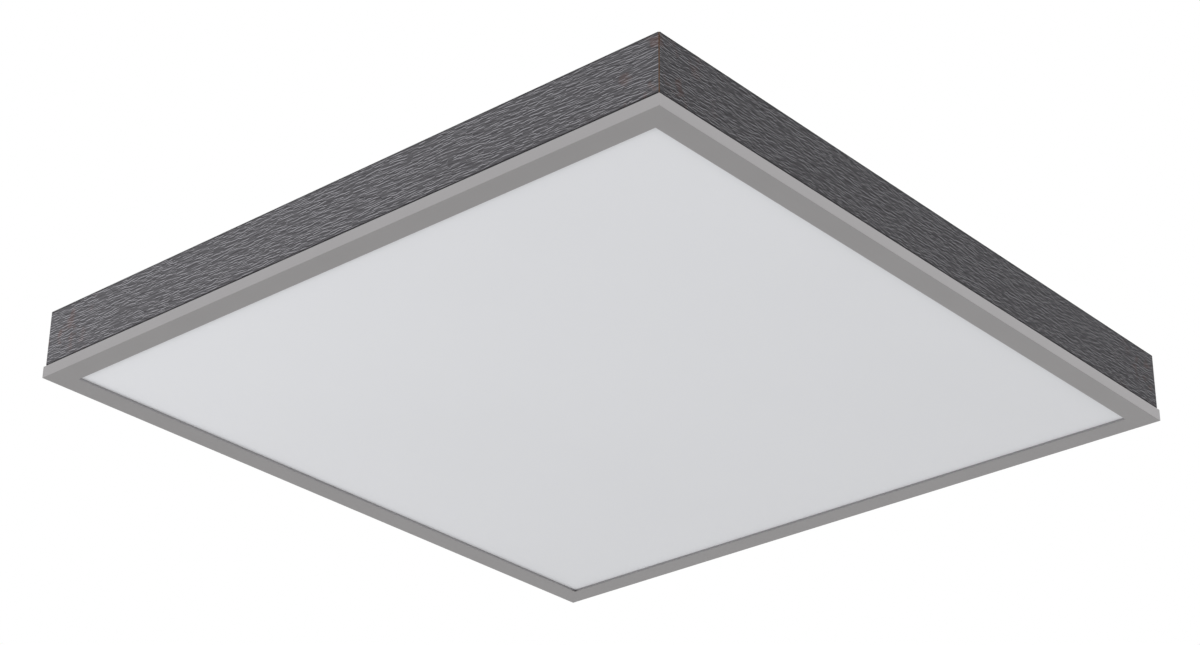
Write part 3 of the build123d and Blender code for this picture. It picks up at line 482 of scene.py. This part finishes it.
circuit, tree, shader = new_material("circuit", Coat_Weight=0.3)
cells = tree.cells(tree.place(), TRACKS_PER_METRE, distance="MANHATTAN")
track = tree.spread(cells["Distance"], 0.32, 0.38)
tree.feed(shader["Base Color"], tree.mix(track, srgb(30, 96, 58), srgb(22, 66, 40)))
tree.feed(shader["Roughness"], tree.spread(track, 0.0, 1.0, 0.3, 0.4))
relief(tree, shader, track, 0.03 * MM)
finishes["circuit"] = circuit

guide, tree, shader = new_material("clear_acrylic", Transmission_Weight=1.0, IOR=1.49)
dots = tree.cells(tree.place(), DOTS_PER_METRE, randomness=0.0)
spot = tree.spread(dots["Distance"], 0.3, 0.2)
tree.feed(shader["Base Color"], tree.mix(spot, srgb(240, 248, 246), srgb(255, 255, 255)))
tree.feed(shader["Roughness"], tree.spread(spot, 0.0, 1.0, 0.02, 0.5))
finishes["clear_acrylic"] = guide
print("special finishes: circuit, clear_acrylic")

# %% [markdown]
# ## Dress the model's own pieces
#
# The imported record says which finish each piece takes.  The foils and the trim rails get the
# finish of their own side, because their lines follow the board.  A list written by hand would
# do too, but it could fall out of step with the record.

# %% Dress the model's own pieces
def dress(piece, material):
    """Puts one material on the whole of a piece."""
    piece.data.materials.clear()
    piece.data.materials.append(material)


slots = {row["node"]: row["material_slot"] for row in frame["record"]["subparts"]}
for name, piece in nodes.items():
    slot = slots[name]
    side = name.split("_")[-1]
    if slot == "decor_foil":
        dress(piece, foils[side])
    elif slot == "trim_aluminium":
        dress(piece, trims[side])
    elif slot in finishes:
        dress(piece, finishes[slot])
print("dressed:", len(nodes), "slots used:", len(set(slots.values())))

# %% [markdown]
# ## A tree that turns screws, studs and rivets
#
# Sixteen screws hold the back plate, twenty-four go into the boards, and there are ten studs
# and eight rivets.  All are round things turned about their own line, so one Geometry Nodes
# tree makes them: a straight line of points, each with its own radius, swept by a circle, as on
# a lathe.  Ripples in the radius are the thread.  The tree then puts a copy on each seat, turned
# along the direction kept there, each with its own spin, because nobody lines up screw heads.
# The direction's length stretches the copy, so that a few longer ones need no tree of their own.
# A cross recess is cut out of the screws.

# %% The turning tree
GEOMETRY, MATERIAL = "NodeSocketGeometry", "NodeSocketMaterial"
FASTENER_SIZES = ("Shank Radius", "Shank Length", "Head Radius", "Head Height", "Pitch",
                  "Thread Depth", "Tip Length", "Recess Reach", "Recess Width", "Recess Depth")
RING_CORNERS = 16
DOME_FLATNESS, DOME_ROUNDNESS = 3.0, 0.4
TIP_SHARE = 0.1
MERGE_DISTANCE = 1e-6
SPIN_SEED = 7


def geometry_tree(name, inputs):
    """A Geometry Nodes tree with named inputs.  Returns it, its input sockets and its output."""
    group = bpy.data.node_groups.new(name, "GeometryNodeTree")
    for title, kind in inputs:
        group.interface.new_socket(name=title, in_out="INPUT", socket_type=kind)
    group.interface.new_socket(name="Geometry", in_out="OUTPUT", socket_type=GEOMETRY)
    tree = Tree(group)
    return tree, tree.add("NodeGroupInput").outputs, tree.add("NodeGroupOutput").inputs


def aimed(tree, axis):
    """The direction kept on each seat, and the turn that brings a copy's axis onto it."""
    aim = tree.add("GeometryNodeInputNamedAttribute", "aim", data_type="FLOAT_VECTOR").outputs[0]
    turn = tree.add("FunctionNodeAlignRotationToVector", None, 1.0, aim, axis=axis).outputs[0]
    return aim, turn


def copies(tree, points, piece, turn=None, scale=None):
    """Puts a copy of a piece on every point."""
    named = {"Instance": piece, "Rotation": turn, "Scale": scale}
    return tree.add("GeometryNodeInstanceOnPoints", points, named=named).outputs[0]


def turned_body(tree, given):
    """The lathe: a line of rings for shank, thread and head, swept by a circle."""
    shank, head = given["Shank Length"], given["Head Height"]
    start, end = tree.vector(z=tree.math("MULTIPLY", shank, -1.0)), tree.vector(z=head)
    line = tree.add("GeometryNodeCurvePrimitiveLine", start, end).outputs[0]
    line = tree.add("GeometryNodeResampleCurve", line, None, given["Rings"]).outputs[0]
    share = tree.add("GeometryNodeSplineParameter").outputs["Factor"]
    z = tree.math("SUBTRACT", tree.math("MULTIPLY", share, tree.math("ADD", shank, head)), shank)
    rise = tree.clamp(tree.math("DIVIDE", z, head), 0.0, 1.0)
    dome = tree.math("SUBTRACT", 1.0, tree.math("POWER", rise, DOME_FLATNESS))
    dome = tree.math("MULTIPLY", tree.math("POWER", dome, DOME_ROUNDNESS), given["Head Radius"])
    turns = tree.math("MULTIPLY", tree.math("DIVIDE", z, given["Pitch"]), math.tau)
    ripple = tree.math("MULTIPLY_ADD", tree.math("COSINE", turns), 0.5, -0.5)
    thread = tree.math("MULTIPLY_ADD", ripple, given["Thread Depth"], given["Shank Radius"])
    taper = tree.math("DIVIDE", tree.math("ADD", z, shank), given["Tip Length"])
    thread = tree.math("MULTIPLY", thread, tree.clamp(taper, TIP_SHARE, 1.0))
    is_head = tree.math("GREATER_THAN", z, 0.0)
    radius = tree.math("MULTIPLY_ADD", is_head, tree.math("SUBTRACT", dome, thread), thread)
    ring = tree.add("GeometryNodeCurvePrimitiveCircle", RING_CORNERS, named={"Radius": 1.0})
    body = tree.add("GeometryNodeCurveToMesh", line, ring.outputs[0], radius, True).outputs[0]
    return tree.add("GeometryNodeMergeByDistance", body, None, MERGE_DISTANCE).outputs[0]


def cross_recess(tree, given, body):
    """Cuts two crossed bars out of the top of the head."""
    reach, width, depth = (given["Recess " + part] for part in ("Reach", "Width", "Depth"))
    high = tree.vector(z=given["Head Height"])
    deep = tree.math("MULTIPLY", depth, 2.0)
    bars = tree.add("GeometryNodeJoinGeometry")
    for x, y in ((reach, width), (width, reach)):
        bar = tree.add("GeometryNodeMeshCube", tree.vector(x, y, deep)).outputs[0]
        tree.feed(bars.inputs[0], tree.add("GeometryNodeTransform", bar, high).outputs[0])
    cut = tree.add(
        "GeometryNodeMeshBoolean", operation="DIFFERENCE", solver="EXACT",
        named={"Mesh 1": body, "Mesh 2": bars.outputs[0], "Self Intersection": True},
    )
    return cut.outputs[0]


def turning_tree(name, recessed):
    """The turned body on every seat, each copy with its own spin and length."""
    sizes = [(title, FLOAT) for title in FASTENER_SIZES]
    tree, given, result = geometry_tree(
        name, [("Seats", GEOMETRY), *sizes, ("Rings", "NodeSocketInt"), ("Finish", MATERIAL)]
    )
    body = turned_body(tree, given)
    if recessed:
        body = cross_recess(tree, given, body)
    aim, turn = aimed(tree, "Z")
    named = {2: 0.0, 3: math.tau, "Seed": SPIN_SEED}
    spin = tree.add("FunctionNodeRandomValue", named=named, data_type="FLOAT").outputs[1]
    spin = tree.add("FunctionNodeAxisAngleToRotation", (0, 0, 1), spin).outputs[0]
    turn = tree.add("FunctionNodeRotateRotation", turn, spin, rotation_space="LOCAL").outputs[0]
    length = tree.add("ShaderNodeVectorMath", aim, operation="LENGTH").outputs["Value"]
    placed = copies(tree, given["Seats"], body, turn, tree.vector(1.0, 1.0, length))
    real = tree.add("GeometryNodeRealizeInstances", placed).outputs[0]
    done = tree.add("GeometryNodeSetMaterial", real, None, given["Finish"]).outputs[0]
    tree.feed(result[0], done)
    return tree.tree


cross_head_tree = turning_tree("cross_head_fastener", recessed=True)
plain_tree = turning_tree("plain_fastener", recessed=False)
print("tree inputs:", [s.name for s in cross_head_tree.interface.items_tree][:-1])

# %% [markdown]
# ## From seats to plain meshes
#
# A modifier's result only exists while the modifier does, and the file that leaves Blender
# wants plain meshes.  So the evaluated object is copied to a new mesh, and the modifier and its
# helper are thrown away.  Edges sharper than about 35 degrees stay crisp; the rest is smooth.

# %% From seats to plain meshes
SHARP_ANGLE = math.radians(35)
# The cross recess as a share of the head's radius, twice, and of its height.
RECESS_REACH, RECESS_WIDTH, RECESS_DEPTH = 1.1, 0.26, 0.55


def into_scene(thing):
    """Links an object to the scene."""
    bpy.context.scene.collection.objects.link(thing)


def grow(name, body, replaced, tree, inputs, seats):
    """Runs a tree on its seats, keeps the result as a plain mesh, and puts it on its body."""
    points = bpy.data.meshes.new(name + "_seats")
    points.from_pydata([place for place, aim in seats], [], [])
    aims = points.attributes.new("aim", "FLOAT_VECTOR", "POINT")
    for i, (place, aim) in enumerate(seats):
        aims.data[i].vector = aim
    helper = bpy.data.objects.new(name + "_seats", points)
    into_scene(helper)
    modifier = helper.modifiers.new("grow", "NODES")
    modifier.node_group = tree
    for item in tree.interface.items_tree:
        if item.in_out == "INPUT" and item.name in inputs:
            modifier[item.identifier] = inputs[item.name]
    graph = bpy.context.evaluated_depsgraph_get()
    mesh = bpy.data.meshes.new_from_object(helper.evaluated_get(graph), depsgraph=graph)
    bpy.data.objects.remove(helper)
    mesh.shade_smooth()
    mesh.set_sharp_from_angle(angle=SHARP_ANGLE)
    mesh.name = name
    piece = bpy.data.objects.new(name, mesh)
    into_scene(piece)
    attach(piece, body)
    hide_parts(replaced)
    mesh.calc_loop_triangles()
    low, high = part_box(replaced)
    own = [Vector(c) for c in piece.bound_box]
    print(name, "triangles:", len(mesh.loop_triangles), "against the model:",
          [round((min(c[i] for c in own) - low[i]) / MM, 2) for i in range(3)],
          [round((max(c[i] for c in own) - high[i]) / MM, 2) for i in range(3)])


def fastener_inputs(shank, length, head, height, pitch, depth, tip, rings):
    """The sizes of one turned fastener in mm, radii for shank and head, and its finish."""
    recess = (head * RECESS_REACH, head * RECESS_WIDTH, height * RECESS_DEPTH)
    values = (shank, length, head, height, pitch, depth, tip, *recess)
    inputs = {title: value * MM for title, value in zip(FASTENER_SIZES, values)}
    return {**inputs, "Rings": rings, "Finish": finishes["fasteners"]}


def quarter_turns(places):
    """Places on one side, repeated on all four sides about the upright axis."""
    for quarter in range(4):
        turn = Matrix.Rotation(quarter * math.pi / 2, 3, "Z")
        for place, aim in places:
            yield tuple(turn @ Vector(place)), tuple(turn @ Vector(aim))


print("grow is ready")

# %% [markdown]
# ## The fasteners on their seats
#
# The seats repeat the engineering model's: the screws of the back plate on all four sides, the
# screws of the brackets and rails, the rivets of the clips, and the studs for the nuts.  They
# could be read off the model's meshes, but a few plain numbers are easier to follow.

# %% The fasteners on their seats
UP, DOWN, INWARD = (0, 0, 1), (0, 0, -1), (-1, 0, 0)
BOTH = (-1, 1)
PLATE_TOP = -46.0 * MM
INNER_HALF = 284.1 * MM
HANGER_X, HANGER_Y = 240 * MM, 200 * MM

PLATE_SCREW_LINE = 291.9 * MM
plate_seats = [((PLATE_SCREW_LINE, y * MM, PLATE_TOP), UP) for y in (-270, -90, 90, 270)]
plate_screw = fastener_inputs(
    shank=1.3, length=5.5, head=2.5, height=0.8, pitch=1.0, depth=0.25, tip=1.3, rings=64,
)
grow("plate_screws_turned", "light_panel", "plate_screws", cross_head_tree,
     plate_screw, list(quarter_turns(plate_seats)))

BRACKET_FACE, RAIL_FACE = INNER_HALF - 2 * MM, INNER_HALF - 1.5 * MM
BRACKET_HOLES = ((13, 15), (24, 29))    # mm from the corner, and below the ceiling
RAIL_HOLE_DROP, RAIL_HOLE_OFFSET = 13 * MM, 7.5 * MM
bracket_seats = [
    ((BRACKET_FACE, end * (INNER_HALF - away * MM), -drop * MM), INWARD)
    for end in BOTH for away, drop in BRACKET_HOLES
]
rail_holes = [end * HANGER_Y + offset * RAIL_HOLE_OFFSET for end in BOTH for offset in BOTH]
rail_seats = [
    ((side * RAIL_FACE, y, -RAIL_HOLE_DROP), (-side, 0, 0)) for side in BOTH for y in rail_holes
]
wood_screw = fastener_inputs(
    shank=1.75, length=10, head=3.5, height=2.2, pitch=1.6, depth=0.45, tip=3.2, rings=76,
)
grow("wood_screws_turned", "surround", "wood_screws", cross_head_tree,
     wood_screw, list(quarter_turns(bracket_seats)) + rail_seats)

CLIP_UNDERSIDE = -2.3 * MM
RIVET_OFFSET = 4.5 * MM
rivet_seats = [
    ((side * HANGER_X + offset * RIVET_OFFSET, row * HANGER_Y, CLIP_UNDERSIDE), DOWN)
    for row in BOTH for side in BOTH for offset in BOTH
]
rivet = fastener_inputs(
    shank=1.5, length=2.3, head=2.6, height=1.0, pitch=1.0, depth=0.0, tip=0.01, rings=34,
)
grow("clip_rivets_turned", "surround", "clip_rivets", plain_tree, rivet, rivet_seats)

TONGUE_ROW = HANGER_Y - 10.6 * MM
STUD_OFFSET = 5.5 * MM
STUD_SHANK, STUD_TIP, EAR_THICKNESS = 5.2, 0.5, 1.0
DRIVER_Y, EAR_X, EAR_Y = 95, 70, 28.5
longer = 1 + EAR_THICKNESS / (STUD_SHANK + STUD_TIP)
stud_top = PLATE_TOP + STUD_SHANK * MM
ear_top = PLATE_TOP + STUD_SHANK * longer * MM
stud_seats = [
    ((side * HANGER_X + offset * STUD_OFFSET, row * TONGUE_ROW, stud_top), UP)
    for side in BOTH for row in BOTH for offset in BOTH
]
stud_seats += [
    ((side * EAR_X * MM, (DRIVER_Y + side * EAR_Y) * MM, ear_top), (0, 0, longer))
    for side in BOTH
]
stud = fastener_inputs(
    shank=2.0, length=STUD_SHANK, head=1.7, height=STUD_TIP, pitch=0.8, depth=0.3, tip=0.01,
    rings=56,
)
grow("weld_studs_turned", "light_panel", "weld_studs", plain_tree, stud, stud_seats)

# %% [markdown]
# ## The light-emitting chips
#
# Forty chips sit on each strip and shine into the edge of the light guide.  Each is a white
# package with a yellow window, sunk a little.  A line of points with one chip on each is the
# plainest tree there is: its inputs are the count, the spacing and the chip's size.  The
# finishes go on last, once the copies are real, and the window is found again by the selection
# that sank it.

# %% The light-emitting chips
WINDOW_SHARE, WINDOW_SINK = 0.78, 0.12 * MM
LED_X, LED_Z = 284.85 * MM, -50.0 * MM

tree, given, result = geometry_tree(
    "chip_rows",
    [("Seats", GEOMETRY), ("Count", "NodeSocketInt"), ("Spacing", FLOAT), ("Length", FLOAT),
     ("Height", FLOAT), ("Depth", FLOAT), ("Package", MATERIAL), ("Window", MATERIAL)],
)
size = tree.vector(given["Depth"], given["Length"], given["Height"])
chip = tree.add("GeometryNodeMeshCube", size).outputs[0]
normal = tree.add("ShaderNodeSeparateXYZ", tree.add("GeometryNodeInputNormal").outputs[0])
front = tree.math("GREATER_THAN", normal.outputs[0], 0.9)
rim = tree.add("GeometryNodeExtrudeMesh", chip, front, named={"Offset Scale": 0.0}).outputs
chip = tree.add("GeometryNodeScaleElements", rim["Mesh"], rim["Top"], WINDOW_SHARE).outputs[0]
sunk = tree.add(
    "GeometryNodeExtrudeMesh", chip, rim["Top"], named={"Offset Scale": -WINDOW_SINK}
).outputs
span = tree.math("MULTIPLY", given["Spacing"], tree.math("SUBTRACT", given["Count"], 1.0))
first = tree.vector(y=tree.math("MULTIPLY", span, -0.5))
step = tree.vector(y=given["Spacing"])
line = tree.add(
    "GeometryNodeMeshLine", given["Count"], named={"Start Location": first, "Offset": step}
)
aim, turn = aimed(tree, "X")
rows = copies(tree, given["Seats"], copies(tree, line.outputs[0], sunk["Mesh"]), turn)
real = tree.add("GeometryNodeRealizeInstances", rows).outputs[0]
done = tree.add("GeometryNodeSetMaterial", real, None, given["Package"]).outputs[0]
done = tree.add("GeometryNodeSetMaterial", done, sunk["Top"], given["Window"]).outputs[0]
tree.feed(result[0], done)

finishes["chip"] = grained("chip", srgb(240, 214, 96), size=0.2, patch=2, rough=(0.3, 0.4))
chip_inputs = {
    "Count": 40, "Spacing": 13.8 * MM, "Length": 3.5 * MM, "Height": 2.8 * MM,
    "Depth": 0.7 * MM, "Package": finishes["strip_mask"], "Window": finishes["chip"],
}
grow("light_chips_packed", "light_panel", "light_chips", tree.tree, chip_inputs,
     [((-side * LED_X, 0, LED_Z), (side, 0, 0)) for side in BOTH])

# %% [markdown]
# ## Floor, world and lamps
#
# The light hangs in the air here, so the floor is far below it.  It is big enough to reach the
# horizon, because the trim mirrors it.  The world is white for what looks at it directly or in
# a reflection, and a softer grey for the light that it casts.  One wide lamp on the left makes
# the left side a little brighter than the right, a weak one lifts the front, and a soft sun
# from above lights the back.

# %% Floor, world and lamps
FLOOR_Z, FLOOR_SIZE, FLOOR_PATCH = -4.5, 80, 0.9
FLOOR_DARK, FLOOR_LIGHT = srgb(229, 229, 228), srgb(230, 230, 229)
WORLD_LIGHT = 0.14

bpy.ops.mesh.primitive_plane_add(size=FLOOR_SIZE, location=(0, 0, 0))
floor = bpy.context.object
floor.name = "floor"
floor.data.transform(Matrix.Translation((0, 0, FLOOR_Z)))
pale, tree, shader = new_material("floor_pale", Roughness=0.9)
marks = use(tree, grain_group, Patch=FLOOR_PATCH)
patches = tree.spread(marks["Patches"], *NOISE_RANGE)
tree.feed(shader["Base Color"], tree.mix(patches, FLOOR_DARK, FLOOR_LIGHT))
floor.data.materials.append(pale)

world = bpy.data.worlds.new("pale_room")
bpy.context.scene.world = world
world.use_nodes = True
tree = Tree(world.node_tree)
world.node_tree.nodes.clear()
rays = tree.add("ShaderNodeLightPath").outputs
seen = tree.math("MAXIMUM", rays["Is Camera Ray"], rays["Is Glossy Ray"])
seen = tree.math("MAXIMUM", seen, rays["Is Transmission Ray"])
strength = tree.math("MULTIPLY_ADD", seen, 1 - WORLD_LIGHT, WORLD_LIGHT)
background = tree.add("ShaderNodeBackground", (1, 1, 1, 1), strength)
tree.add("ShaderNodeOutputWorld", background.outputs[0])


def lamp(name, kind, energy, place, **settings):
    """A lamp that looks at the origin, and that neither the camera nor a reflection sees."""
    data = bpy.data.lights.new(name, kind)
    data.energy = energy
    for key, value in settings.items():
        setattr(data, key, value)
    light = bpy.data.objects.new(name, data)
    light.location = place
    light.rotation_euler = (-Vector(place)).to_track_quat("-Z", "Y").to_euler()
    light.visible_camera = False
    light.visible_glossy = False
    into_scene(light)


lamp("side_lamp", "AREA", 32, (-1.9, 1.2, -0.7), shape="DISK", size=1.4)
lamp("front_lamp", "AREA", 4.7, (-0.3, -1.9, -0.4), shape="DISK", size=0.8)
lamp("sky_lamp", "SUN", 2.4, (-0.5, 0.6, 4.0), angle=math.radians(30))

# %% [markdown]
# ## The camera
#
# The picture was taken from below, near the front left corner, with a long lens.  The camera's
# place and turn were worked out from the object's own straight edges.  Placing it by eye would
# be quicker, but then no edge would fall quite where it does in the picture.

# %% The camera
CAMERA_PLACE = (-1.38817, -1.20296, -0.93099)
CAMERA_AIM = (0.67043, 0.58532, 0.45598)
CAMERA_UP = (-0.34942556, -0.29306703, 0.8899514)
CAMERA_LENS, SENSOR_WIDTH = 81.307, 36    # mm

back = -Vector(CAMERA_AIM).normalized()
up = Vector(CAMERA_UP)
right = up.cross(back).normalized()
up = back.cross(right)
turn = Matrix((right, up, back)).transposed().to_4x4()
lens = bpy.data.cameras.new("camera")
lens.sensor_fit, lens.sensor_width, lens.lens = "HORIZONTAL", SENSOR_WIDTH, CAMERA_LENS
lens.clip_start, lens.clip_end = 0.01, 200
camera = bpy.data.objects.new("camera", lens)
camera.matrix_world = Matrix.Translation(CAMERA_PLACE) @ turn
into_scene(camera)
bpy.context.scene.camera = camera
bpy.context.scene.view_settings.view_transform = "Standard"
print("camera elevation:", round(math.degrees(math.asin(-back.z)), 2))
